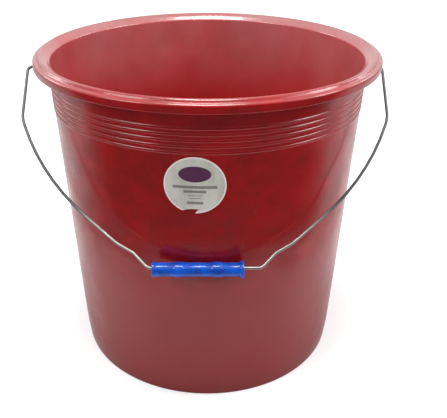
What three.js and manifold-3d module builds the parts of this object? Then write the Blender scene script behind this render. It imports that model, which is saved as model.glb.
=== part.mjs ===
// A round, tapered cleaning bucket with a wire bail, a tube grip on the bail and a round label.
// Millimetres, +Z up. The origin is the middle of the base, on the floor. The bail hangs at the front, -Y.
import * as THREE from "three";
import { mergeVertices } from "three/addons/utils/BufferGeometryUtils.js";
import Module from "manifold-3d";

const wasm = await Module();
wasm.setup();

// Bucket wall and base
const bucketHeight = 316;
const baseRadius = 136.8;
const tuckRadius = 139.2;
const tuckHeight = 28;
const neckRadius = 151.4;
const wallThickness = 2.2;
const footWidth = 8;
const footRecess = 3;
const footSlope = 2;
const floorThickness = 2.6;
const baseCornerRadius = 1.8;
const floorCornerRadius = 3;
const outerCurveStart = 0.35;
const innerCurveStart = 0.6;
const roundSegments = 96;

// Rim: a flared crest, a rounded shoulder and a skirt that hangs clear of the wall
const rimRadius = 165;
const rimDepth = 10.2;
const crestInset = 6.4;
const crestRounding = 3;
const shoulderDrop = 4.9;
const shoulderRounding = 2.2;
const mouthRounding = 2.8;
const mouthDrop = 7.4;
const skirtInnerBevel = 0.4;
const skirtOuterBevel = 0.6;

// Raised beads round the wall, counted down from the top one
const beadCount = 5;
const beadSpacing = 5.25;
const topBeadDrop = 27.5;
const beadHeight = 0.8;
const beadWidth = 2.8;

// Lugs under the rim that take the ends of the bail
const pivotDrop = 20;
const lugDepth = 9.5;
const lugRadius = 11;
const lugHoleFloor = 0.9;
const lugSkirtGap = 2;
const lugRimRise = 1;
const lugTrim = 5;
const lugSteps = 12;
const lugHoleSides = 24;

// Bail: its ends have play in the lugs, and it lies a little to the left of the middle
const wireRadius = 1.4;
const wireClearance = 0.4;
const wireEndPlay = 0.5;
const bailShift = -2.4;
const armClearance = 6.6;
const pivotBendRadius = 5;
const armLength = 56.8;
const armBendRadius = 35;
const sideBendInset = 23.8;
const sideBendDrop = 84.8;
const sideBendRadius = 232;
const jogOuterWidth = 31.4;
const jogOuterDrop = 22.4;
const jogOuterRadius = 30;
const jogInnerWidth = 16;
const jogInnerDrop = 13.3;
const jogInnerRadius = 10;
const seatBendWidth = 3.5;
const seatBendRadius = 8;
const wireSides = 12;
const bendStep = 15;
const bendStepLength = 9;

// Grip
const gripHeight = 161.2;
const gripLength = 80;
const gripRadius = 6.2;
const gripRingRadius = 6.8;
const gripEndRadius = 7;
const gripLipRadius = 7.9;
const gripRingWidth = 9;
const gripCentreWidth = 24;
const gripEndWidth = 3;
const gripSag = 1.6;
const gripBoreClearance = 0.3;
const gripWallGap = 0.35;
const gripEdge = 0.5;
const gripEndTaper = 0.3;
const gripStepSlope = 0.8;
const gripStepLead = 0.4;
const gripShift = -5.9;
const gripEndSpace = 6;
const gripSegments = 32;

// Label, just below the lowest bead, with a torn place at its lower left edge
const labelRadius = 26;
const labelBeadGap = 1.5;
const labelThickness = 0.3;
const labelGap = 0.3;
const labelTurn = -4;
const labelTrim = 4;
const labelSegments = 64;
const tornEdge = [
  [-12, -28],
  [-10.3, -23.4],
  [-7, -22.4],
  [-3, -21.9],
  [3, -22],
  [0.2, -25.7],
  [-0.4, -28],
];

const neckHeight = bucketHeight - rimDepth;
const pivotHeight = bucketHeight - pivotDrop;
const lowestBeadHeight = bucketHeight - topBeadDrop - (beadCount - 1) * beadSpacing - beadWidth / 2;
const labelHeight = lowestBeadHeight - labelBeadGap - labelRadius;
const radians = THREE.MathUtils.degToRad;

// Outside of the wall: a straight taper that curves in over the lowest part.
function wallRadiusAt(z) {
  const taper = (neckRadius - tuckRadius) / (neckHeight - tuckHeight);
  const straight = tuckRadius + taper * (z - tuckHeight);
  const tuck = tuckRadius - taper * tuckHeight - baseRadius;
  return straight - tuck * Math.max(0, 1 - z / tuckHeight) ** 2;
}

function arc(centre, radius, from, to, steps) {
  const points = [];
  for (let i = 0; i <= steps; i++) {
    const a = radians(from + ((to - from) * i) / steps);
    points.push([centre[0] + radius * Math.cos(a), centre[1] + radius * Math.sin(a)]);
  }
  return points;
}

// Direction, in degrees, square to the line that touches two circles on their upper side.
function tangentDirection(a, radiusA, b, radiusB) {
  const dx = b[0] - a[0];
  const dz = b[1] - a[1];
  const turn = Math.acos((radiusA - radiusB) / Math.hypot(dx, dz));
  return THREE.MathUtils.radToDeg(Math.atan2(dz, dx) + turn);
}

// A profile of [radius, height] pairs turned about the Z axis.
function turned(profile, segments) {
  const points = profile.map(([r, z]) => new THREE.Vector2(r, z));
  return new THREE.LatheGeometry(points, segments).rotateX(Math.PI / 2);
}

function solid(geometry) {
  const bare = new THREE.BufferGeometry();
  bare.setAttribute("position", geometry.getAttribute("position").clone());
  if (geometry.index) bare.setIndex(geometry.index.clone());
  const merged = mergeVertices(bare, 1e-4);
  const mesh = new wasm.Mesh({
    numProp: 3,
    vertProperties: merged.getAttribute("position").array,
    triVerts: new Uint32Array(merged.index.array),
  });
  return new wasm.Manifold(mesh);
}

function asGeometry(made) {
  const mesh = made.getMesh();
  const geometry = new THREE.BufferGeometry();
  geometry.setAttribute("position", new THREE.BufferAttribute(new Float32Array(mesh.vertProperties), 3));
  geometry.setIndex(new THREE.BufferAttribute(new Uint32Array(mesh.triVerts), 1));
  geometry.computeVertexNormals();
  return geometry;
}

function rod(radius, fromX, toX, z, sides) {
  const length = Math.abs(toX - fromX);
  const geometry = new THREE.CylinderGeometry(radius, radius, length, sides);
  return geometry.rotateZ(Math.PI / 2).translate((fromX + toX) / 2, 0, z);
}

const crest = [rimRadius - crestInset, bucketHeight - crestRounding];
const shoulder = [rimRadius - shoulderRounding, bucketHeight - shoulderDrop];
const mouth = [neckRadius - wallThickness + mouthRounding, bucketHeight - mouthDrop];
const outerSlope = tangentDirection(crest, crestRounding, shoulder, shoulderRounding);
const crestAcross = [-crest[0], crest[1]];
const mouthAcross = [-mouth[0], mouth[1]];
const innerSlope = 180 - tangentDirection(crestAcross, crestRounding, mouthAcross, mouthRounding);

// Points on the wall between two shares of the height that curves in.
function wallPoints(from, to) {
  const heights = [from, (from + to) / 2, to].map((share) => share * tuckHeight);
  return heights.map((z) => [wallRadiusAt(z), z]);
}

function bucketProfile() {
  const footInner = baseRadius - footWidth;
  const floorTop = footRecess + floorThickness;
  const corner = [wallRadiusAt(baseCornerRadius) - baseCornerRadius, baseCornerRadius];
  const insideHeight = floorTop + floorCornerRadius;
  const insideCorner = [wallRadiusAt(insideHeight) - wallThickness - floorCornerRadius, insideHeight];
  const profile = [
    [0, footRecess],
    [footInner - footSlope, footRecess],
    [footInner, 0],
    ...arc(corner, baseCornerRadius, -90, 0, 3),
    ...wallPoints(outerCurveStart, 1),
  ];
  for (let i = beadCount - 1; i >= 0; i--) {
    const z = bucketHeight - topBeadDrop - i * beadSpacing;
    for (const [side, rise] of [[-0.5, 0], [-0.25, 1], [0.25, 1], [0.5, 0]]) {
      const height = z + side * beadWidth;
      profile.push([wallRadiusAt(height) + rise * beadHeight, height]);
    }
  }
  profile.push(
    [neckRadius, neckHeight],
    ...arc(mouth, mouthRounding - wallThickness, 180, innerSlope, 1),
    ...arc(crest, crestRounding - wallThickness, innerSlope, outerSlope, 2),
    shoulder,
    [rimRadius - wallThickness, neckHeight + skirtInnerBevel],
    [rimRadius - wallThickness + skirtInnerBevel, neckHeight],
    [rimRadius - skirtOuterBevel, neckHeight],
    [rimRadius, neckHeight + skirtOuterBevel],
    ...arc(shoulder, shoulderRounding, 0, outerSlope, 3),
    ...arc(crest, crestRounding, outerSlope, innerSlope, 4),
    ...arc(mouth, mouthRounding, innerSlope, 180, 3),
    ...wallPoints(1, innerCurveStart).map(([r, z]) => [r - wallThickness, z]),
    ...arc(insideCorner, floorCornerRadius, 0, -90, 3),
    [0, floorTop],
  );
  return profile;
}

// The space under the rim that a lug may fill, from inside the wall to inside the flare.
function lugLimit() {
  const low = pivotHeight - lugRadius - lugTrim;
  const reach = rimRadius - wallThickness - lugSkirtGap;
  const middle = wallThickness / 2;
  return turned(
    [
      [wallRadiusAt(low) - middle, low],
      [reach, low],
      [reach, crest[1] + lugRimRise],
      ...arc(crest, crestRounding - middle, outerSlope, innerSlope, 2),
      ...arc(mouth, mouthRounding - middle, innerSlope, 180, 1),
      [wallRadiusAt(low) - middle, low],
    ],
    roundSegments,
  );
}

function lug(side) {
  const inner = wallRadiusAt(pivotHeight) - wallThickness;
  const shape = new THREE.Shape();
  shape.moveTo(-lugRadius, bucketHeight);
  for (let i = 0; i <= lugSteps; i++) {
    const a = Math.PI + (Math.PI * i) / lugSteps;
    shape.lineTo(lugRadius * Math.cos(a), pivotHeight + lugRadius * Math.sin(a));
  }
  shape.lineTo(lugRadius, bucketHeight);
  const depth = lugDepth + wallThickness;
  const block = new THREE.ExtrudeGeometry(shape, { depth, bevelEnabled: false });
  block.rotateX(Math.PI / 2).rotateZ(Math.PI / 2).translate(inner, 0, 0);
  const turn = side > 0 ? 0 : Math.PI;
  return block.rotateZ(turn);
}

function makeBucket() {
  const holeFrom = wallRadiusAt(pivotHeight) + lugHoleFloor;
  const holeTo = wallRadiusAt(pivotHeight) + lugDepth + lugTrim;
  const holeRadius = wireRadius + wireClearance;
  let body = solid(turned(bucketProfile(), roundSegments));
  const limit = solid(lugLimit());
  for (const side of [1, -1]) body = body.add(solid(lug(side)).intersect(limit));
  for (const side of [1, -1]) {
    const hole = rod(holeRadius, side * holeFrom, side * holeTo, pivotHeight, lugHoleSides);
    body = body.subtract(solid(hole));
  }
  return asGeometry(body);
}

// The grip hangs just clear of the wall, and that sets how far the bail reaches and its angle at rest.
const gripReach = wallRadiusAt(gripHeight) + gripRingRadius + gripWallGap;
const bailLength = Math.hypot(gripReach, pivotHeight - gripHeight);
const restAngle = Math.atan2(pivotHeight - gripHeight, gripReach);
const armSpread = rimRadius + armClearance + wireRadius;

// The wire through its corners, each [x, distance from the hinge, bend radius], as points to sweep along.
function bentWire(corners) {
  const points = [new THREE.Vector2(corners[0][0], corners[0][1])];
  for (let i = 1; i < corners.length - 1; i++) {
    const at = new THREE.Vector2(corners[i][0], corners[i][1]);
    const back = new THREE.Vector2(corners[i - 1][0], corners[i - 1][1]).sub(at).normalize();
    const on = new THREE.Vector2(corners[i + 1][0], corners[i + 1][1]).sub(at).normalize();
    const half = Math.acos(back.dot(on)) / 2;
    const radius = corners[i][2];
    const centre = at.clone().addScaledVector(back.clone().add(on).normalize(), radius / Math.sin(half));
    const start = at.clone().addScaledVector(back, radius / Math.tan(half)).sub(centre);
    const turn = Math.PI - 2 * half;
    const way = Math.sign(back.x * on.y - back.y * on.x);
    const stepsByAngle = Math.ceil(turn / radians(bendStep));
    const stepsByLength = Math.ceil((turn * radius) / bendStepLength);
    const steps = Math.max(2, stepsByAngle, stepsByLength);
    for (let k = 0; k <= steps; k++) {
      points.push(start.clone().rotateAround(new THREE.Vector2(), (-way * turn * k) / steps).add(centre));
    }
  }
  const last = corners[corners.length - 1];
  points.push(new THREE.Vector2(last[0], last[1]));
  return points;
}

function onBailPlane(point) {
  const out = point.y * Math.cos(restAngle);
  const down = point.y * Math.sin(restAngle);
  return new THREE.Vector3(point.x + bailShift, -out, pivotHeight - down);
}

// A curve that is sampled at given points instead of at equal steps, so bends get more sections.
class SectionCurve extends THREE.Curve {
  constructor(points) {
    super();
    this.points = points;
  }

  getPointAt(u) {
    return this.points[Math.round(u * (this.points.length - 1))].clone();
  }

  getTangentAt(u) {
    const i = Math.round(u * (this.points.length - 1));
    const before = this.points[Math.max(0, i - 1)];
    const after = this.points[Math.min(this.points.length - 1, i + 1)];
    const here = this.points[i];
    const tangent = new THREE.Vector3();
    if (i > 0) tangent.add(here.clone().sub(before).normalize());
    if (i < this.points.length - 1) tangent.add(after.clone().sub(here).normalize());
    return tangent.normalize();
  }
}

function makeBail() {
  const wireEnd = wallRadiusAt(pivotHeight) + lugHoleFloor + wireEndPlay - bailShift;
  const seat = gripLength / 2 + gripEndSpace;
  const rightSide = [
    [wireEnd, 0, 0],
    [armSpread, 0, pivotBendRadius],
    [armSpread, armLength, armBendRadius],
    [armSpread - sideBendInset, bailLength - sideBendDrop, sideBendRadius],
    [seat + jogOuterWidth, bailLength - jogOuterDrop, jogOuterRadius],
    [seat + jogInnerWidth, bailLength - jogInnerDrop, jogInnerRadius],
    [seat + seatBendWidth, bailLength, seatBendRadius],
  ];
  const leftSide = rightSide.map(([x, d, r]) => [-x, d, r]).reverse();
  const path = bentWire([...rightSide, ...leftSide]).map(onBailPlane);
  const circle = arc([0, 0], wireRadius, 0, 360, wireSides).slice(1);
  const section = new THREE.Shape(circle.map(([x, y]) => new THREE.Vector2(x, y)));
  const extrudePath = new SectionCurve(path);
  return new THREE.ExtrudeGeometry(section, { steps: path.length - 1, extrudePath });
}

function makeGrip() {
  const bore = wireRadius + gripSag + gripBoreClearance;
  const end = gripLength / 2;
  const ringIn = gripCentreWidth / 2;
  const ringOut = ringIn + gripRingWidth;
  const half = (endRadius) => [
    [bore, end - gripEdge],
    [bore + gripEdge, end],
    [endRadius - gripEdge, end],
    [endRadius, end - gripEdge],
    [endRadius - gripEndTaper, end - gripEndWidth],
    [gripRadius, end - gripEndWidth - gripStepSlope],
    [gripRadius, ringOut + gripStepLead],
    [gripRingRadius, ringOut - gripStepSlope],
    [gripRingRadius, ringIn + gripStepSlope],
    [gripRadius, ringIn - gripStepLead],
  ];
  const left = half(gripEndRadius).map(([r, x]) => [r, -x]);
  const profile = [...left, ...half(gripLipRadius).reverse(), left[0]];
  const tube = turned(profile, gripSegments).rotateY(Math.PI / 2);
  return tube.translate(bailShift + gripShift, -gripReach, gripHeight - gripSag);
}

function makeLabel() {
  const low = labelHeight - labelRadius - labelTrim;
  const high = labelHeight + labelRadius + labelTrim;
  const lowInside = wallRadiusAt(low) + labelGap;
  const highInside = wallRadiusAt(high) + labelGap;
  const ring = [
    [lowInside, low],
    [lowInside + labelThickness, low],
    [highInside + labelThickness, high],
    [highInside, high],
    [lowInside, low],
  ];
  const disc = new THREE.CylinderGeometry(labelRadius, labelRadius, neckRadius, labelSegments);
  disc.translate(0, -neckRadius, labelHeight).rotateZ(radians(labelTurn));
  const torn = new THREE.Shape(tornEdge.map(([x, z]) => new THREE.Vector2(x, z)));
  const cutter = new THREE.ExtrudeGeometry(torn, { depth: neckRadius, bevelEnabled: false });
  cutter.rotateX(Math.PI / 2).translate(0, -neckRadius / 2, labelHeight).rotateZ(radians(labelTurn));
  const sleeve = solid(turned(ring, roundSegments));
  return asGeometry(sleeve.intersect(solid(disc)).subtract(solid(cutter)));
}

const group = new THREE.Group();

function addNode(name, geometry, color, roughness, metalness) {
  const mesh = new THREE.Mesh(geometry, new THREE.MeshStandardMaterial({ color, roughness, metalness }));
  mesh.name = name;
  group.add(mesh);
}

addNode("bucket", makeBucket(), 0x9c1518, 0.35, 0);
addNode("bail", makeBail(), 0xa7a59f, 0.4, 1);
addNode("grip", makeGrip(), 0x1b56d2, 0.4, 0);
addNode("label", makeLabel(), 0xb9bcae, 0.5, 0);

export default group;
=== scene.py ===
import math

import bpy
from mathutils import Matrix, Vector


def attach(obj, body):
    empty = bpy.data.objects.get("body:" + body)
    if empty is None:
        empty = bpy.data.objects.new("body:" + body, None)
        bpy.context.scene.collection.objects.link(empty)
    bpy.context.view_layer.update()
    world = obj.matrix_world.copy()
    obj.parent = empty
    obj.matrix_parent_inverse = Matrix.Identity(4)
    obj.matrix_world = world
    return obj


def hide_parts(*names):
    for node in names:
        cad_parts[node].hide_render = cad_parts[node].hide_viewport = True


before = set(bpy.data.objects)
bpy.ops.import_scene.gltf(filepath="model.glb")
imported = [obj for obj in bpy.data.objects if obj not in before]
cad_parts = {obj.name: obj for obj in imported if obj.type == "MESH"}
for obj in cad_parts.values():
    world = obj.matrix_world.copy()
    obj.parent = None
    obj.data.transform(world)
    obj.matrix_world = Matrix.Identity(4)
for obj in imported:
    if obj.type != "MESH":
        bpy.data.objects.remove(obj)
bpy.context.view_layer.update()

mm = 0.001


# small helpers for working with one piece at a time

def deselectAll():
    if bpy.context.object and bpy.context.object.mode != "OBJECT":
        bpy.ops.object.mode_set(mode="OBJECT")
    bpy.ops.object.select_all(action="DESELECT")


def makeActive(piece):
    deselectAll()
    piece.select_set(True)
    bpy.context.view_layer.objects.active = piece


def applyModifier(piece, kind, **settings):
    makeActive(piece)
    modifier = piece.modifiers.new(kind.title(), kind)
    for key, value in settings.items():
        setattr(modifier, key, value)
    bpy.ops.object.modifier_apply(modifier=modifier.name)


def cleanUp(piece, angle):
    makeActive(piece)
    bpy.ops.object.mode_set(mode="EDIT")
    bpy.ops.mesh.select_all(action="SELECT")
    bpy.ops.mesh.remove_doubles(threshold=0.004 * mm)
    bpy.ops.mesh.normals_make_consistent(inside=False)
    bpy.ops.object.mode_set(mode="OBJECT")
    bpy.ops.object.shade_smooth_by_angle(angle=math.radians(angle))


def dress(piece, name, material, body, slotName, *nodes):
    piece.name = name
    piece.data.name = name
    piece.data.materials.clear()
    piece.data.materials.append(material)
    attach(piece, body)
    if nodes:
        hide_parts(*nodes)


def arcPoints(centre, radius, start, end, steps):
    angles = [math.radians(start + (end - start) * i / steps) for i in range(steps + 1)]
    return [(centre[0] + radius * math.cos(a), centre[1] + radius * math.sin(a)) for a in angles]


def startProfile(point):
    # a plane merged down to one vertex, which the outline is then drawn from
    deselectAll()
    bpy.ops.mesh.primitive_plane_add(size=0.01, location=point)
    bpy.ops.object.transform_apply(location=True, rotation=True, scale=True)
    bpy.ops.object.mode_set(mode="EDIT")
    bpy.ops.mesh.select_mode(type="VERT")
    bpy.ops.mesh.select_all(action="SELECT")
    bpy.ops.mesh.merge(type="CENTER")
    return bpy.context.object


def spinProfile(points, centre, axis, steps):
    # draws the outline by extruding a vertex from point to point, then spins it round the axis
    piece = startProfile(points[0])
    for here, there in zip(points, points[1:]):
        move = [b - a for a, b in zip(here, there)]
        bpy.ops.mesh.extrude_vertices_move(TRANSFORM_OT_translate={"value": move})
    bpy.ops.mesh.select_all(action="SELECT")
    bpy.ops.mesh.spin(steps=steps, angle=2 * math.pi, center=centre, axis=axis)
    return piece


# shader building blocks

def newGroup(name, inputs, outputs):
    group = bpy.data.node_groups.new(name, "ShaderNodeTree")
    for label, kind, value in inputs:
        socket = group.interface.new_socket(name=label, in_out="INPUT", socket_type=kind)
        if value is not None:
            socket.default_value = value
    for label, kind in outputs:
        group.interface.new_socket(name=label, in_out="OUTPUT", socket_type=kind)
    return group, group.nodes.new("NodeGroupInput"), group.nodes.new("NodeGroupOutput")


def addNode(tree, kind, **settings):
    node = tree.nodes.new(kind)
    for key, value in settings.items():
        setattr(node, key, value)
    return node


def feed(tree, socket, value):
    if isinstance(value, bpy.types.NodeSocket):
        tree.links.new(value, socket)
    else:
        socket.default_value = value


def calc(tree, operation, *values):
    node = addNode(tree, "ShaderNodeMath", operation=operation)
    for socket, value in zip(node.inputs, values):
        feed(tree, socket, value)
    return node.outputs[0]


def ramp(tree, value, low, high, lowTo=0.0, highTo=1.0):
    node = addNode(tree, "ShaderNodeMapRange", interpolation_type="SMOOTHSTEP")
    for socket, given in zip(node.inputs, (value, low, high, lowTo, highTo)):
        feed(tree, socket, given)
    return node.outputs[0]


def noise(tree, vector, scale, detail=2.0, roughness=0.5):
    node = addNode(tree, "ShaderNodeTexNoise")
    feed(tree, node.inputs["Vector"], vector)
    feed(tree, node.inputs["Scale"], scale)
    feed(tree, node.inputs["Detail"], detail)
    feed(tree, node.inputs["Roughness"], roughness)
    return node.outputs["Fac"]


def blendColours(tree, share, first, second):
    node = addNode(tree, "ShaderNodeMix", data_type="RGBA")
    feed(tree, node.inputs["Factor"], share)
    feed(tree, node.inputs[6], first)
    feed(tree, node.inputs[7], second)
    return node.outputs[2]


def stretched(tree, vector, scale, turn=(0, 0, 0), place=(0, 0, 0)):
    node = addNode(tree, "ShaderNodeMapping")
    feed(tree, node.inputs["Vector"], vector)
    node.inputs["Location"].default_value = place
    node.inputs["Rotation"].default_value = [math.radians(t) for t in turn]
    node.inputs["Scale"].default_value = scale
    return node.outputs[0]


def makeMouldedSkin():
    # the slightly uneven skin of moulded plastic: soft waves, a fine peel and flow clouds
    group, given, out = newGroup(
        "mouldedSkin",
        [
            ("Vector", "NodeSocketVector", None),
            ("Wave Scale", "NodeSocketFloat", 14.0),
            ("Peel Scale", "NodeSocketFloat", 420.0),
        ],
        [("Height", "NodeSocketFloat"), ("Clouds", "NodeSocketFloat")],
    )
    vector = given.outputs["Vector"]
    waves = noise(group, vector, given.outputs["Wave Scale"], 1.0)
    peel = noise(group, vector, given.outputs["Peel Scale"], 2.0)
    cloudScale = calc(group, "MULTIPLY", given.outputs["Wave Scale"], 1.7)
    clouds = noise(group, stretched(group, vector, (1, 1, 1.25)), cloudScale, 4.0, 0.6)
    height = calc(group, "ADD", waves, calc(group, "MULTIPLY", peel, 0.05))
    group.links.new(height, out.inputs["Height"])
    group.links.new(ramp(group, clouds, 0.3, 0.7), out.inputs["Clouds"])
    return group


def makeFineScuffs():
    # short hairline scuffs in three directions, thinned out by a patchy mask
    group, given, out = newGroup(
        "fineScuffs",
        [("Vector", "NodeSocketVector", None), ("Amount", "NodeSocketFloat", 0.5)],
        [("Scuffs", "NodeSocketFloat")],
    )
    vector = given.outputs["Vector"]
    total = None
    directions = [
        ((20, 35, 10), (900, 30, 60)),
        ((75, -20, 60), (40, 1100, 30)),
        ((-40, 60, 15), (30, 50, 1000)),
    ]
    for turn, scale in directions:
        lines = noise(group, stretched(group, vector, scale, turn), 1.0, 1.0)
        thin = ramp(group, lines, 0.66, 0.74)
        total = thin if total is None else calc(group, "MAXIMUM", total, thin)
    patches = ramp(group, noise(group, vector, 38.0, 3.0, 0.6), 0.48, 0.68)
    masked = calc(group, "MULTIPLY", total, patches)
    group.links.new(calc(group, "MULTIPLY", masked, given.outputs["Amount"]), out.inputs["Scuffs"])
    return group


def makeSettledDust():
    # dust that gathers on faces that look up and towards the foot of the piece
    group, given, out = newGroup(
        "settledDust",
        [
            ("Vector", "NodeSocketVector", None),
            ("Foot Height", "NodeSocketFloat", 0.06),
            ("Amount", "NodeSocketFloat", 0.3),
        ],
        [("Dust", "NodeSocketFloat")],
    )
    split = addNode(group, "ShaderNodeSeparateXYZ")
    group.links.new(given.outputs["Vector"], split.inputs[0])
    faces = addNode(group, "ShaderNodeNewGeometry")
    facing = addNode(group, "ShaderNodeSeparateXYZ")
    group.links.new(faces.outputs["Normal"], facing.inputs[0])
    upward = calc(group, "MULTIPLY", ramp(group, facing.outputs[2], 0.6, 1.0), 0.5)
    foot = calc(group, "MULTIPLY", ramp(group, split.outputs[2], given.outputs["Foot Height"], 0.0), 0.8)
    patches = ramp(group, noise(group, given.outputs["Vector"], 55.0, 5.0, 0.65), 0.35, 0.75)
    dust = calc(group, "MULTIPLY", calc(group, "MAXIMUM", upward, foot), patches)
    group.links.new(calc(group, "MULTIPLY", dust, given.outputs["Amount"]), out.inputs["Dust"])
    return group


def makeInnerPaintedSheen():
    # painted sheen: a pale, cloudy reflection painted on walls that face the middle, strongest towards the
    # top
    group, given, out = newGroup(
        "innerPaintedSheen",
        [
            ("Vector", "NodeSocketVector", None),
            ("From Height", "NodeSocketFloat", 0.12),
            ("To Height", "NodeSocketFloat", 0.31),
            ("Amount", "NodeSocketFloat", 0.5),
        ],
        [("PaintedSheen", "NodeSocketFloat"), ("Inside", "NodeSocketFloat"), ("Rim", "NodeSocketFloat")],
    )
    vector = given.outputs["Vector"]
    split = addNode(group, "ShaderNodeSeparateXYZ")
    group.links.new(vector, split.inputs[0])
    faces = addNode(group, "ShaderNodeNewGeometry")
    level = addNode(group, "ShaderNodeVectorMath", operation="MULTIPLY")
    group.links.new(vector, level.inputs[0])
    level.inputs[1].default_value = (1, 1, 0)
    outward = addNode(group, "ShaderNodeVectorMath", operation="NORMALIZE")
    group.links.new(level.outputs[0], outward.inputs[0])
    facing = addNode(group, "ShaderNodeVectorMath", operation="DOT_PRODUCT")
    group.links.new(outward.outputs[0], facing.inputs[0])
    group.links.new(faces.outputs["Normal"], facing.inputs[1])
    inside = ramp(group, facing.outputs["Value"], -0.3, -0.8)
    height = ramp(group, split.outputs[2], given.outputs["From Height"], given.outputs["To Height"])
    sheenNoise = noise(group, stretched(group, vector, (1, 1, 0.6)), 16.0, 4.0, 0.55)
    patches = ramp(group, sheenNoise, 0.25, 0.75, 0.55, 1.0)
    paintedSheen = calc(group, "MULTIPLY", calc(group, "MULTIPLY", inside, height), patches)
    group.links.new(calc(group, "MULTIPLY", paintedSheen, given.outputs["Amount"]), out.inputs["PaintedSheen"])
    group.links.new(inside, out.inputs["Inside"])
    # painted reflection: a pale colour on the upward-facing rim top
    upward = addNode(group, "ShaderNodeSeparateXYZ")
    group.links.new(faces.outputs["Normal"], upward.inputs[0])
    lookingUp = ramp(group, upward.outputs[2], 0.3, 0.9)
    atRim = calc(group, "MULTIPLY", lookingUp, ramp(group, split.outputs[2], 0.300, 0.306))
    # the painted rim reflection fades out towards the front
    sheenFrontFade = ramp(group, split.outputs[1], -0.155, -0.06, 0.35, 1.0)
    atRim = calc(group, "MULTIPLY", atRim, sheenFrontFade)
    group.links.new(calc(group, "MULTIPLY", atRim, patches), out.inputs["Rim"])
    return group


mouldedSkin = makeMouldedSkin()
innerPaintedSheen = makeInnerPaintedSheen()
fineScuffs = makeFineScuffs()
settledDust = makeSettledDust()


def placeGroup(tree, group, **values):
    node = addNode(tree, "ShaderNodeGroup", node_tree=group)
    for key, value in values.items():
        feed(tree, node.inputs[key.replace("_", " ")], value)
    return node


def newMaterial(name):
    material = bpy.data.materials.new(name)
    material.use_nodes = True
    tree = material.node_tree
    shader = tree.nodes["Principled BSDF"]
    where = addNode(tree, "ShaderNodeTexCoord").outputs["Object"]
    return material, tree, shader, where


def bumpFrom(tree, shader, height, strength, distance):
    bump = addNode(tree, "ShaderNodeBump")
    bump.inputs["Strength"].default_value = strength
    bump.inputs["Distance"].default_value = distance
    feed(tree, bump.inputs["Height"], height)
    tree.links.new(bump.outputs[0], shader.inputs["Normal"])


def mouldedPlastic(name, look):
    material, tree, shader, where = newMaterial(name)
    scales = {"Wave_Scale": look["waveScale"], "Peel_Scale": look["peelScale"]}
    skin = placeGroup(tree, mouldedSkin, Vector=where, **scales)
    scuffs = placeGroup(tree, fineScuffs, Vector=where, Amount=look["scuffs"]).outputs[0]
    settled = {"Foot_Height": look["footHeight"], "Amount": look["dust"]}
    dust = placeGroup(tree, settledDust, Vector=where, **settled).outputs[0]
    clouds = skin.outputs["Clouds"]
    colour = blendColours(tree, clouds, look["colour"], look["cloudColour"])
    colour = blendColours(tree, scuffs, colour, look["scuffColour"])
    # painted shade: a darker colour towards the bottom of the piece
    low = addNode(tree, "ShaderNodeSeparateXYZ")
    tree.links.new(where, low.inputs[0])
    colour = blendColours(tree, ramp(tree, low.outputs[2], *look["paintedShadeFrom"]), colour, look["paintedShadeColour"])
    colour = blendColours(tree, dust, colour, look["dustColour"])
    if look["paintedSheen"] > 0:
        sheenSettings = {"From_Height": look["paintedSheenFrom"], "Amount": look["paintedSheen"]}
        sheenGroup = placeGroup(tree, innerPaintedSheen, Vector=where, **sheenSettings)
        # painted light: the inside walls get a lighter red, then the painted sheen, and the rim top its
        # painted reflection
        inside = calc(tree, "MULTIPLY", sheenGroup.outputs["Inside"], look["paintedLightInsideShare"])
        onRim = calc(tree, "MULTIPLY", sheenGroup.outputs["Rim"], look["rimPaintedSheen"])
        colour = blendColours(tree, inside, colour, look["paintedLightInsideColour"])
        colour = blendColours(tree, sheenGroup.outputs["PaintedSheen"], colour, look["paintedSheenColour"])
        colour = blendColours(tree, onRim, colour, look["rimPaintedSheenColour"])
    tree.links.new(colour, shader.inputs["Base Color"])
    clouded = ramp(tree, clouds, 0.0, 1.0, *look["gloss"])
    gloss = calc(tree, "ADD", clouded, calc(tree, "MULTIPLY", scuffs, 0.25))
    feed(tree, shader.inputs["Roughness"], calc(tree, "ADD", gloss, calc(tree, "MULTIPLY", dust, 0.4)))
    shader.inputs["IOR"].default_value = look["ior"]
    height = calc(tree, "SUBTRACT", skin.outputs["Height"], calc(tree, "MULTIPLY", scuffs, 0.04))
    bumpFrom(tree, shader, height, look["bump"], look["bumpDepth"])
    return material


redPlastic = {
    "colour": (0.31, 0.0065, 0.0078, 1),
    "cloudColour": (0.225, 0.0045, 0.0055, 1),
    "paintedLightInsideColour": (0.39, 0.011, 0.011, 1),
    "paintedLightInsideShare": 0.8,
    "paintedSheenColour": (0.40, 0.17, 0.175, 1),
    "paintedSheen": 0.58,
    "paintedSheenFrom": 0.19,
    "rimPaintedSheenColour": (0.22, 0.16, 0.16, 1),
    "rimPaintedSheen": 0.66,
    "paintedShadeColour": (0.235, 0.005, 0.006, 1),
    "paintedShadeFrom": (0.19, 0.09),
    "scuffColour": (0.48, 0.07, 0.075, 1),
    "dustColour": (0.42, 0.20, 0.18, 1),
    "gloss": (0.16, 0.22),
    "ior": 1.5,
    "waveScale": 22.0,
    "peelScale": 420.0,
    "scuffs": 0.10,
    "dust": 0.04,
    "footHeight": 0.05,
    "bump": 0.6,
    "bumpDepth": 0.0031,
}

bluePlastic = {
    "paintedSheen": 0.0,
    "colour": (0.005, 0.10, 0.58, 1),
    "cloudColour": (0.003, 0.042, 0.32, 1),
    "paintedShadeColour": (0.004, 0.05, 0.34, 1),
    "paintedShadeFrom": (0.1565, 0.1545),
    "scuffColour": (0.09, 0.22, 0.75, 1),
    "dustColour": (0.25, 0.30, 0.45, 1),
    "gloss": (0.14, 0.24),
    "ior": 1.49,
    "waveScale": 60.0,
    "peelScale": 900.0,
    "scuffs": 0.25,
    "dust": 0.0,
    "footHeight": 0.0001,
    "bump": 0.3,
    "bumpDepth": 0.0003,
}

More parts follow.
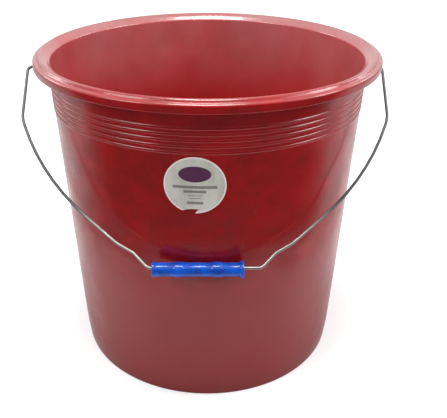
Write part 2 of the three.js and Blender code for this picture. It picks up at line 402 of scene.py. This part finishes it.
redBucketPlastic = mouldedPlastic("redBucketPlastic", redPlastic)
blueGripPlastic = mouldedPlastic("blueGripPlastic", bluePlastic)

drawnWire = {
    "colour": (0.44, 0.42, 0.38, 1),
    "dullColour": (0.30, 0.28, 0.25, 1),
    "gloss": (0.34, 0.42),
    "armShadeColour": (0.115, 0.115, 0.115, 1),
    "armShadeFrom": (0.178, 0.205),
    "greyGloss": 0.3,
    "lineScale": 900.0,
    "blotchScale": 55.0,
    "speckScale": 700.0,
    "bump": 0.1,
    "bumpDepth": 0.00001,
}


def makeDrawnWire(look):
    material, tree, shader, where = newMaterial("drawnSteelWire")
    blotches = ramp(tree, noise(tree, where, look["blotchScale"], 4.0, 0.6), 0.35, 0.7)
    lines = noise(tree, stretched(tree, where, (0.08, 1, 1)), look["lineScale"], 2.0)
    specks = ramp(tree, noise(tree, where, look["speckScale"], 2.0), 0.66, 0.78)
    dull = calc(tree, "MAXIMUM", calc(tree, "MULTIPLY", blotches, 0.55), calc(tree, "MULTIPLY", specks, 0.6))
    colour = blendColours(tree, dull, look["colour"], look["dullColour"])
    split = addNode(tree, "ShaderNodeSeparateXYZ")
    tree.links.new(where, split.inputs[0])
    # painted shade: the arms are given a dark grey colour, and the middle keeps the brighter steel colour
    armShade = ramp(tree, split.outputs[2], *look["armShadeFrom"])
    feed(tree, shader.inputs["Base Color"], blendColours(tree, armShade, colour, look["armShadeColour"]))
    worn = calc(tree, "MULTIPLY", calc(tree, "ADD", lines, blotches), 0.5)
    duller = calc(tree, "MULTIPLY", armShade, look["greyGloss"])
    rough = calc(tree, "ADD", ramp(tree, worn, 0.2, 0.8, *look["gloss"]), duller)
    feed(tree, shader.inputs["Roughness"], rough)
    shader.inputs["Metallic"].default_value = 1.0
    bumpFrom(tree, shader, lines, look["bump"], look["bumpDepth"])
    return material


steelWire = makeDrawnWire(drawnWire)

printedLabel = {
    "centreHeight": 0.2386,
    "turn": -4.0,
    "radius": 0.026,
    "foil": (0.60, 0.60, 0.54, 1),
    "foilDark": (0.46, 0.46, 0.41, 1),
    "border": (0.84, 0.72, 0.71, 1),
    "bandColour": (0.10, 0.018, 0.075, 1),
    "ovalHalf": (0.0135, 0.0072),
    "ovalUp": 0.0105,
    "stripeColour": (0.075, 0.055, 0.07, 1),
    "stripes": [
        (-0.0012, 0.0185, 0.0013),
        (-0.0054, 0.0095, 0.0012),
        (-0.0092, 0.0060, 0.0004),
        (-0.0117, 0.0050, 0.0004),
        (-0.0160, 0.0068, 0.0013),
    ],
    "gloss": (0.30, 0.42),
    "grainScale": 900.0,
    "wrinkleScale": 90.0,
    "bump": 0.3,
    "bumpDepth": 0.0003,
}


def boxMask(tree, x, z, centre, half, soft):
    # 1 inside a plain rectangle with softened edges
    across = calc(tree, "ABSOLUTE", calc(tree, "SUBTRACT", x, centre[0]))
    upward = calc(tree, "ABSOLUTE", calc(tree, "SUBTRACT", z, centre[1]))
    return calc(
        tree, "MULTIPLY",
        ramp(tree, across, half[0] + soft, half[0] - soft),
        ramp(tree, upward, half[1] + soft, half[1] - soft),
    )


def makeLabelFoil(look):
    material, tree, shader, where = newMaterial("printedLabelFoil")
    turned = stretched(tree, where, (1, 1, 1), (0, 0, -look["turn"]), (0, 0, -look["centreHeight"]))
    split = addNode(tree, "ShaderNodeSeparateXYZ")
    tree.links.new(turned, split.inputs[0])
    x, z = split.outputs[0], split.outputs[2]
    squares = calc(tree, "ADD", calc(tree, "POWER", x, 2.0), calc(tree, "POWER", z, 2.0))
    fromCentre = calc(tree, "SQRT", squares)
    grain = noise(tree, where, look["grainScale"], 3.0)
    wrinkles = noise(tree, stretched(tree, where, (1, 1, 0.4)), look["wrinkleScale"], 4.0, 0.6)
    colour = blendColours(tree, ramp(tree, wrinkles, 0.35, 0.7), look["foil"], look["foilDark"])
    ovalX = calc(tree, "DIVIDE", x, look["ovalHalf"][0])
    ovalZ = calc(tree, "DIVIDE", calc(tree, "SUBTRACT", z, look["ovalUp"]), look["ovalHalf"][1])
    ovalSquares = calc(tree, "ADD", calc(tree, "POWER", ovalX, 2.0), calc(tree, "POWER", ovalZ, 2.0))
    oval = calc(tree, "SQRT", ovalSquares)
    colour = blendColours(tree, ramp(tree, oval, 1.04, 0.97), colour, look["bandColour"])
    for height, half, thick in look["stripes"]:
        stripe = boxMask(tree, x, z, (0.0, height), (half, thick), 0.0002)
        colour = blendColours(tree, calc(tree, "MULTIPLY", stripe, 0.7), colour, look["stripeColour"])
    edge = ramp(tree, fromCentre, look["radius"] - 0.0016, look["radius"] - 0.0010)
    colour = blendColours(tree, edge, colour, look["border"])
    tree.links.new(colour, shader.inputs["Base Color"])
    feed(tree, shader.inputs["Roughness"], ramp(tree, wrinkles, 0.3, 0.7, *look["gloss"]))
    height = calc(tree, "ADD", wrinkles, calc(tree, "MULTIPLY", grain, 0.1))
    bumpFrom(tree, shader, height, look["bump"], look["bumpDepth"])
    return material


labelFoil = makeLabelFoil(printedLabel)
print("finishes ready")

# bucket

bucketLook = {
    "height": 316.0,
    "baseRadius": 136.8,
    "tuckRadius": 139.2,
    "tuckHeight": 28.0,
    "neckRadius": 151.4,
    "wall": 2.2,
    "footWidth": 8.0,
    "footRecess": 3.0,
    "footSlope": 2.0,
    "floor": 2.6,
    "baseCorner": 1.8,
    "floorCorner": 3.0,
    "rimRadius": 165.0,
    "rimDepth": 10.2,
    "crestInset": 6.4,
    "crestRound": 3.0,
    "shoulderDrop": 4.9,
    "shoulderRound": 2.2,
    "mouthRound": 2.8,
    "mouthDrop": 7.4,
    "beads": 5,
    "beadSpacing": 5.25,
    "topBeadDrop": 27.5,
    "beadHeight": 0.6,
    "beadWidth": 2.8,
    "crestLook": (158.3, 313.5, 2.45),
    "crestGroove": (161.9, 314.3, 1.0),
    "flareBulge": 0.55,
    "sides": 256,
}


def wallRadius(z, look=bucketLook):
    neck = look["height"] - look["rimDepth"]
    taper = (look["neckRadius"] - look["tuckRadius"]) / (neck - look["tuckHeight"])
    tuck = look["tuckRadius"] - taper * look["tuckHeight"] - look["baseRadius"]
    straight = look["tuckRadius"] + taper * (z - look["tuckHeight"])
    return straight - tuck * max(0.0, 1 - z / look["tuckHeight"]) ** 2


def touchAngle(a, radiusA, b, radiusB):
    turn = math.acos((radiusA - radiusB) / math.dist(a, b))
    return math.degrees(math.atan2(b[1] - a[1], b[0] - a[0]) + turn)


def bucketOutline(look):
    neck = look["height"] - look["rimDepth"]
    wall = look["wall"]
    crest = (look["rimRadius"] - look["crestInset"], look["height"] - look["crestRound"])
    shoulder = (look["rimRadius"] - look["shoulderRound"], look["height"] - look["shoulderDrop"])
    mouth = (look["neckRadius"] - wall + look["mouthRound"], look["height"] - look["mouthDrop"])
    outer = touchAngle(crest, look["crestRound"], shoulder, look["shoulderRound"])
    mirrored = (-crest[0], crest[1]), look["crestRound"], (-mouth[0], mouth[1]), look["mouthRound"]
    inner = 180 - touchAngle(*mirrored)
    corner = (wallRadius(look["baseCorner"]) - look["baseCorner"], look["baseCorner"])
    floorTop = look["footRecess"] + look["floor"]
    insideHeight = floorTop + look["floorCorner"]
    inside = (wallRadius(insideHeight) - wall - look["floorCorner"], insideHeight)
    footInner = look["baseRadius"] - look["footWidth"]
    points = [(r, look["footRecess"]) for r in (0, footInner - 40, footInner - look["footSlope"])]
    points += [(footInner - 0.3, 0.35), (footInner + 0.1, 0)]
    points += arcPoints(corner, look["baseCorner"], -90, 0, 6)
    points += [(wallRadius(z), z) for z in (4.5, 8, 12, 16, 20, 24, 28, 60, 110, 160)]
    for i in range(look["beads"] - 1, -1, -1):
        z = look["height"] - look["topBeadDrop"] - i * look["beadSpacing"]
        for step in range(-4, 5):
            at = z + step / 8 * look["beadWidth"]
            rise = look["beadHeight"] * math.cos(math.pi * step / 8) ** 0.8 if abs(step) < 4 else 0
            points.append((wallRadius(at) + rise, at))
    points += [(look["neckRadius"] - 0.2, neck - 3), (look["neckRadius"], neck)]
    points += arcPoints(mouth, look["mouthRound"] - wall, 180, inner, 3)
    points += arcPoints(crest, look["crestRound"] - wall, inner, outer, 4)
    points += [shoulder, (look["rimRadius"] - wall, neck + 0.5)]
    points += arcPoints((look["rimRadius"] - wall / 2, neck + 0.6), wall / 2, 190, 350, 6)
    roll = look["crestLook"][:2]
    rollRound = look["crestLook"][2]
    points += arcPoints(shoulder, look["shoulderRound"], 0, 92, 8)
    points += arcPoints(look["crestGroove"][:2], look["crestGroove"][2], 265, 205, 4)
    points += arcPoints(roll, rollRound, 20, 120, 9)
    top = arcPoints(crest, look["crestRound"], 128, inner, 5)
    throat = arcPoints(mouth, look["mouthRound"], inner, 180, 7)
    points += top
    for step in range(1, 8):  # the flare down to the wall is slightly rounded
        share = step / 8
        bulge = look["flareBulge"] * math.sin(math.pi * share)
        r = top[-1][0] + (throat[0][0] - top[-1][0]) * share
        z = top[-1][1] + (throat[0][1] - top[-1][1]) * share
        points.append((r + bulge * math.cos(math.radians(inner)), z + bulge * math.sin(math.radians(inner))))
    points += throat
    points += [(wallRadius(z) - wall, z) for z in (300, 250, 200, 150, 100, 60, 28, 22, 16, 12)]
    points += arcPoints(inside, look["floorCorner"], 0, -90, 6)
    points += [(100, floorTop), (50, floorTop), (0, floorTop)]
    return [(r * mm, 0, max(z, 0) * mm) for r, z in points]


bucket = spinProfile(bucketOutline(bucketLook), (0, 0, 0), (0, 0, 1), bucketLook["sides"])
cleanUp(bucket, 35)
dress(bucket, "bucket_shell", redBucketPlastic, "bucket", "red_plastic", "bucket")
print("bucket turned:", len(bucket.data.polygons), "faces")

# lugs under the rim that hold the wire ends

lugLook = {
    "pivotHeight": 296.0,
    "radius": 11.0,
    "depth": 9.5,
    "holeRadius": 1.8,
    "holeFloor": 0.9,
    "edge": 0.42,
    "sides": 48,
}


def makeLug(look, side):
    wallHere = wallRadius(look["pivotHeight"])
    root = wallHere - bucketLook["wall"] / 2
    face = wallHere + look["depth"]
    deselectAll()
    bpy.ops.mesh.primitive_cylinder_add(
        vertices=look["sides"], radius=look["radius"] * mm, depth=(face - root) * mm,
        location=((face + root) / 2 * mm, 0, look["pivotHeight"] * mm), rotation=(0, math.pi / 2, 0),
    )
    piece = bpy.context.object
    bpy.ops.object.transform_apply(location=True, rotation=True, scale=True)
    bpy.ops.object.mode_set(mode="EDIT")
    bpy.ops.mesh.select_mode(type="VERT")
    bpy.ops.mesh.select_all(action="DESELECT")
    bpy.ops.object.mode_set(mode="OBJECT")
    ceiling = (bucketLook["height"] - bucketLook["rimDepth"] + 2.2) * mm
    for vertex in piece.data.vertices:
        vertex.select = vertex.co.z > (look["pivotHeight"] + 0.01) * mm
    bpy.ops.object.mode_set(mode="EDIT")
    # the upper half runs up into the rim
    bpy.ops.transform.resize(value=(1, 1, 0), center_override=(0, 0, ceiling))
    bpy.ops.object.mode_set(mode="OBJECT")
    cleanUp(piece, 35)
    rounding = {"width": look["edge"] * mm, "segments": 3, "limit_method": "ANGLE"}
    applyModifier(piece, "BEVEL", angle_limit=math.radians(50), **rounding)
    deselectAll()
    bpy.ops.mesh.primitive_cylinder_add(
        vertices=32, radius=look["holeRadius"] * mm, depth=20 * mm,
        location=((wallHere + look["holeFloor"] + 10) * mm, 0, look["pivotHeight"] * mm),
        rotation=(0, math.pi / 2, 0),
    )
    drill = bpy.context.object
    applyModifier(piece, "BOOLEAN", object=drill, operation="DIFFERENCE", solver="EXACT")
    bpy.data.objects.remove(drill)
    if side < 0:
        makeActive(piece)
        piece.rotation_euler.z = math.pi
        bpy.ops.object.transform_apply(location=True, rotation=True, scale=True)
    cleanUp(piece, 35)
    return piece


for side, name in ((1, "lug_right"), (-1, "lug_left")):
    lug = makeLug(lugLook, side)
    dress(lug, name, redBucketPlastic, "bucket", "red_plastic")
print("lugs made")

# bail wire

bailLook = {
    "wireRadius": 1.4,
    "shift": -2.4,
    "pivotHeight": 296.0,
    "gripHeight": 161.2,
    "gripReach": 152.195,
    "endOut": 1.4,
    "armSpread": 173.0,
    "pivotBend": 5.0,
    "armLength": 56.8,
    "armBend": 35.0,
    "sideInset": 23.8,
    "sideDrop": 84.8,
    "sideBend": 232.0,
    "seatHalf": 46.0,
    "jogOuter": (31.4, 22.4, 30.0),
    "jogInner": (16.0, 13.3, 10.0),
    "seatBend": (3.5, 0.0, 8.0),
    "step": 4.0,
}


def bailPath(look):
    drop = look["pivotHeight"] - look["gripHeight"]
    reach = look["gripReach"]
    length = math.hypot(reach, drop)
    rest = math.atan2(drop, reach)
    wireEnd = wallRadius(look["pivotHeight"]) + look["endOut"] - look["shift"]
    right = [
        (wireEnd, 0, 0),
        (look["armSpread"], 0, look["pivotBend"]),
        (look["armSpread"], look["armLength"], look["armBend"]),
        (look["armSpread"] - look["sideInset"], length - look["sideDrop"], look["sideBend"]),
    ]
    bends = (look["jogOuter"], look["jogInner"], look["seatBend"])
    right += [(look["seatHalf"] + w, length - d, r) for w, d, r in bends]
    corners = right + [(-x, d, r) for x, d, r in reversed(right)]
    flat = [Vector(corners[0][:2])]
    for before, here, after in zip(corners, corners[1:], corners[2:]):
        at = Vector(here[:2])
        back = (Vector(before[:2]) - at).normalized()
        on = (Vector(after[:2]) - at).normalized()
        half = back.angle(on) / 2
        centre = at + (back + on).normalized() * here[2] / math.sin(half)
        spoke = at + back * here[2] / math.tan(half) - centre
        turn = math.pi - 2 * half
        way = 1 if back.x * on.y - back.y * on.x > 0 else -1
        steps = max(3, math.ceil(math.degrees(turn) / look["step"]))
        for k in range(steps + 1):
            flat.append(centre + Matrix.Rotation(-way * turn * k / steps, 2) @ spoke)
    flat.append(Vector(corners[-1][:2]))
    return [
        Vector((p.x + look["shift"], -p.y * math.cos(rest), look["pivotHeight"] - p.y * math.sin(rest))) * mm
        for p in flat
    ]


def makeWire(path, radius):
    deselectAll()
    bpy.ops.curve.primitive_nurbs_path_add(location=(0, 0, 0))
    wire = bpy.context.object
    wire.data.splines.clear()
    spline = wire.data.splines.new("POLY")
    spline.points.add(len(path) - 1)
    for point, place in zip(spline.points, path):
        point.co = (*place, 1)
    wire.data.dimensions = "3D"
    wire.data.bevel_depth = radius * mm
    wire.data.bevel_resolution = 6
    wire.data.use_fill_caps = True
    makeActive(wire)
    bpy.ops.object.convert(target="MESH")
    return bpy.context.object


bail = makeWire(bailPath(bailLook), bailLook["wireRadius"])
cleanUp(bail, 50)
dress(bail, "bail_wire", steelWire, "bail", "wire_steel", "bail")
print("bail bent:", len(bail.data.polygons), "faces")

# grip

gripLook = {
    "centre": (-8.3, -152.195, 159.6),
    "length": 80.0,
    "bore": 3.3,
    "radius": 6.2,
    "ringRadius": 6.8,
    "leftEnd": 7.0,
    "rightEnd": 7.9,
    "ringWidth": 9.0,
    "centreWidth": 24.0,
    "endWidth": 3.0,
    "edge": 0.5,
    "sides": 96,
}


def gripOutline(look):
    end = look["length"] / 2
    ringIn = look["centreWidth"] / 2
    ringOut = ringIn + look["ringWidth"]
    edge = look["edge"]

    def half(endRadius):
        points = arcPoints((end - edge, look["bore"] + edge), edge, 270, 360, 3)
        points += arcPoints((end - edge, endRadius - edge), edge, 0, 90, 4)
        barrel, ring, collar = look["radius"], look["ringRadius"], end - look["endWidth"]
        points += [(collar, endRadius - 0.3), (collar - 0.3, endRadius - 0.5)]
        points += [(collar - 0.8, barrel + 0.05), (collar - 1.2, barrel)]
        points += [(ringOut + 0.5, barrel), (ringOut, barrel + 0.2), (ringOut - 0.5, ring - 0.08)]
        points += [(ringOut - 1.0, ring), (ringIn + 1.0, ring)]
        points += [(ringIn + 0.5, ring - 0.08), (ringIn, barrel + 0.2), (ringIn - 0.5, barrel)]
        return points

    right = half(look["rightEnd"])
    left = [(-x, r) for x, r in half(look["leftEnd"])]
    points = left + right[::-1] + [left[0]]
    cx, cy, cz = look["centre"]
    return [((cx + x) * mm, cy * mm, (cz + r) * mm) for x, r in points]


gripCentre = [c * mm for c in gripLook["centre"]]
grip = spinProfile(gripOutline(gripLook), gripCentre, (1, 0, 0), gripLook["sides"])
cleanUp(grip, 40)
dress(grip, "grip_tube", blueGripPlastic, "grip", "blue_plastic", "grip")
print("grip turned:", len(grip.data.polygons), "faces")

# label: the CAD disc keeps its shape and gets the printed foil

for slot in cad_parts["label"].material_slots:
    slot.material = labelFoil
print("label dressed")

# studio

studio = {
    "floorSize": 12.0,
    "floorColour": (0.52, 0.52, 0.52, 1),
    "floorGlow": (0.53, 0.86),
    "glowFrom": (0.25, 1.5),
    "glossShare": 0.12,
    "glossWorld": 1.0,
    "ambient": 0.34,
    "lamps": [
        {"name": "topLamp", "place": (-0.05, -0.15, 1.8), "size": 0.6, "power": 38.0},
        {"name": "keyLamp", "place": (-1.3, -0.9, 1.4), "size": 0.7, "power": 13.5},
        {"name": "sideLamp", "place": (1.5, -0.3, 1.2), "size": 0.7, "power": 18.0},
        {"name": "leftRimLamp", "place": (-1.5, 0.7, 0.95), "size": 0.6, "power": 8.0},
        {"name": "rightRimLamp", "place": (1.5, 0.8, 0.95), "size": 0.6, "power": 6.0},
    ],
    "flagInner": 0.3,
    "flagOuter": 3.0,
    "flagFade": (0.31, 0.39),
    "flagSideFade": (0.22, -0.26),
    "frontFlagPlace": (0, -1.7, 0.85),
    "frontFlagSize": (4.0, 1.7),
}


def aimAt(item, target):
    item.rotation_euler = (Vector(target) - item.location).to_track_quat("-Z", "Y").to_euler()


def makeFloor(look):
    deselectAll()
    bpy.ops.mesh.primitive_plane_add(size=look["floorSize"], location=(0, 0, 0))
    floor = bpy.context.object
    floor.name = "studio_floor"
    material = bpy.data.materials.new("paleFloor")
    material.use_nodes = True
    tree = material.node_tree
    tree.nodes.clear()
    diffuse = addNode(tree, "ShaderNodeBsdfDiffuse")
    diffuse.inputs["Color"].default_value = look["floorColour"]
    glow = addNode(tree, "ShaderNodeEmission")
    path = addNode(tree, "ShaderNodeLightPath")
    mirrored = calc(tree, "MULTIPLY", path.outputs["Is Glossy Ray"], look["glossShare"])
    shown = calc(tree, "MAXIMUM", path.outputs["Is Camera Ray"], mirrored)
    where = addNode(tree, "ShaderNodeTexCoord").outputs["Object"]
    away = addNode(tree, "ShaderNodeVectorMath", operation="LENGTH")
    tree.links.new(where, away.inputs[0])
    glowHere = ramp(tree, away.outputs["Value"], *look["glowFrom"], *look["floorGlow"])
    feed(tree, glow.inputs["Strength"], calc(tree, "MULTIPLY", shown, glowHere))
    both = addNode(tree, "ShaderNodeAddShader")
    tree.links.new(diffuse.outputs[0], both.inputs[0])
    tree.links.new(glow.outputs[0], both.inputs[1])
    out = addNode(tree, "ShaderNodeOutputMaterial")
    tree.links.new(both.outputs[0], out.inputs["Surface"])
    floor.data.materials.append(material)


def makeDarkCard(look):
    # dark in front, fading to nothing towards the bucket and towards the sides
    card = bpy.data.materials.new("darkCard")
    card.use_nodes = True
    tree = card.node_tree
    tree.nodes.clear()
    where = addNode(tree, "ShaderNodeTexCoord").outputs["Object"]
    level = addNode(tree, "ShaderNodeVectorMath", operation="LENGTH")
    tree.links.new(where, level.inputs[0])
    split = addNode(tree, "ShaderNodeSeparateXYZ")
    tree.links.new(where, split.inputs[0])
    away = ramp(tree, level.outputs["Value"], *look["flagFade"])
    strength = calc(tree, "MULTIPLY", away, ramp(tree, split.outputs[1], *look["flagSideFade"]))
    dark = addNode(tree, "ShaderNodeBsdfDiffuse")
    dark.inputs["Color"].default_value = (0.02, 0.02, 0.02, 1)
    mix = addNode(tree, "ShaderNodeMixShader")
    tree.links.new(strength, mix.inputs[0])
    tree.links.new(addNode(tree, "ShaderNodeBsdfTransparent").outputs[0], mix.inputs[1])
    tree.links.new(dark.outputs[0], mix.inputs[2])
    tree.links.new(mix.outputs[0], addNode(tree, "ShaderNodeOutputMaterial").inputs["Surface"])
    return card


def dressFlag(flag, name, card):
    # seen only in reflections
    flag.name = name
    flag.data.materials.append(card)
    flag.visible_camera = False
    flag.visible_diffuse = False
    flag.visible_shadow = False
    flag.visible_transmission = False


def makeFlags(look):
    # dark cards that face the front of the bucket: one round it on the floor, one upright behind the camera
    card = makeDarkCard(look)
    deselectAll()
    bpy.ops.mesh.primitive_circle_add(vertices=96, radius=look["flagInner"], location=(0, 0, 0.004))
    ring = bpy.context.object
    bpy.ops.object.transform_apply(location=True, rotation=True, scale=True)
    bpy.ops.object.mode_set(mode="EDIT")
    bpy.ops.mesh.select_all(action="SELECT")
    bpy.ops.mesh.extrude_edges_move()
    bigger = look["flagOuter"] / look["flagInner"]
    bpy.ops.transform.resize(value=(bigger, bigger, 1))
    bpy.ops.mesh.select_all(action="SELECT")
    bpy.ops.mesh.bisect(plane_co=(0, look["flagSideFade"][0], 0), plane_no=(0, 1, 0), clear_outer=True)
    bpy.ops.object.mode_set(mode="OBJECT")
    dressFlag(ring, "floor_flag", card)
    deselectAll()
    standing = {"location": look["frontFlagPlace"], "rotation": (math.pi / 2, 0, 0)}
    bpy.ops.mesh.primitive_plane_add(size=1, **standing)
    upright = bpy.context.object
    upright.scale = (*look["frontFlagSize"], 1)
    bpy.ops.object.transform_apply(location=True, rotation=True, scale=True)
    dressFlag(upright, "front_flag", card)


def makeWorld(look):
    world = bpy.data.worlds.new("studioWorld")
    bpy.context.scene.world = world
    world.use_nodes = True
    tree = world.node_tree
    background = tree.nodes["Background"]
    background.inputs["Color"].default_value = (1, 1, 1, 1)
    path = addNode(tree, "ShaderNodeLightPath")
    shown = calc(tree, "MAXIMUM", path.outputs["Is Camera Ray"], path.outputs["Is Transmission Ray"])
    mirrored = calc(tree, "MULTIPLY", path.outputs["Is Glossy Ray"], look["glossWorld"])
    shown = calc(tree, "MAXIMUM", shown, mirrored)
    feed(tree, background.inputs["Strength"], calc(tree, "MAXIMUM", shown, look["ambient"]))


def makeLamps(look):
    for lamp in look["lamps"]:
        deselectAll()
        bpy.ops.object.light_add(type="AREA", location=lamp["place"])
        light = bpy.context.object
        light.name = lamp["name"]
        light.data.shape = "SQUARE"
        light.data.size = lamp["size"]
        light.data.energy = lamp["power"]
        aimAt(light, (0, 0, 0.2))


cameraLook = {
    "place": (0.0, -0.6266, 0.4719),
    "downward": 28.04,
    "lens": 52.35,
    "shift": 0.0358,
}


def makeCamera(look):
    deselectAll()
    bpy.ops.object.camera_add(location=look["place"], rotation=(math.radians(90 - look["downward"]), 0, 0))
    camera = bpy.context.object
    camera.data.sensor_width = 36
    camera.data.lens = look["lens"]
    camera.data.shift_x = look["shift"]
    bpy.context.scene.camera = camera


makeFloor(studio)
makeFlags(studio)
makeWorld(studio)
makeLamps(studio)
makeCamera(cameraLook)
bpy.context.scene.view_settings.view_transform = "Standard"
print("studio set up")
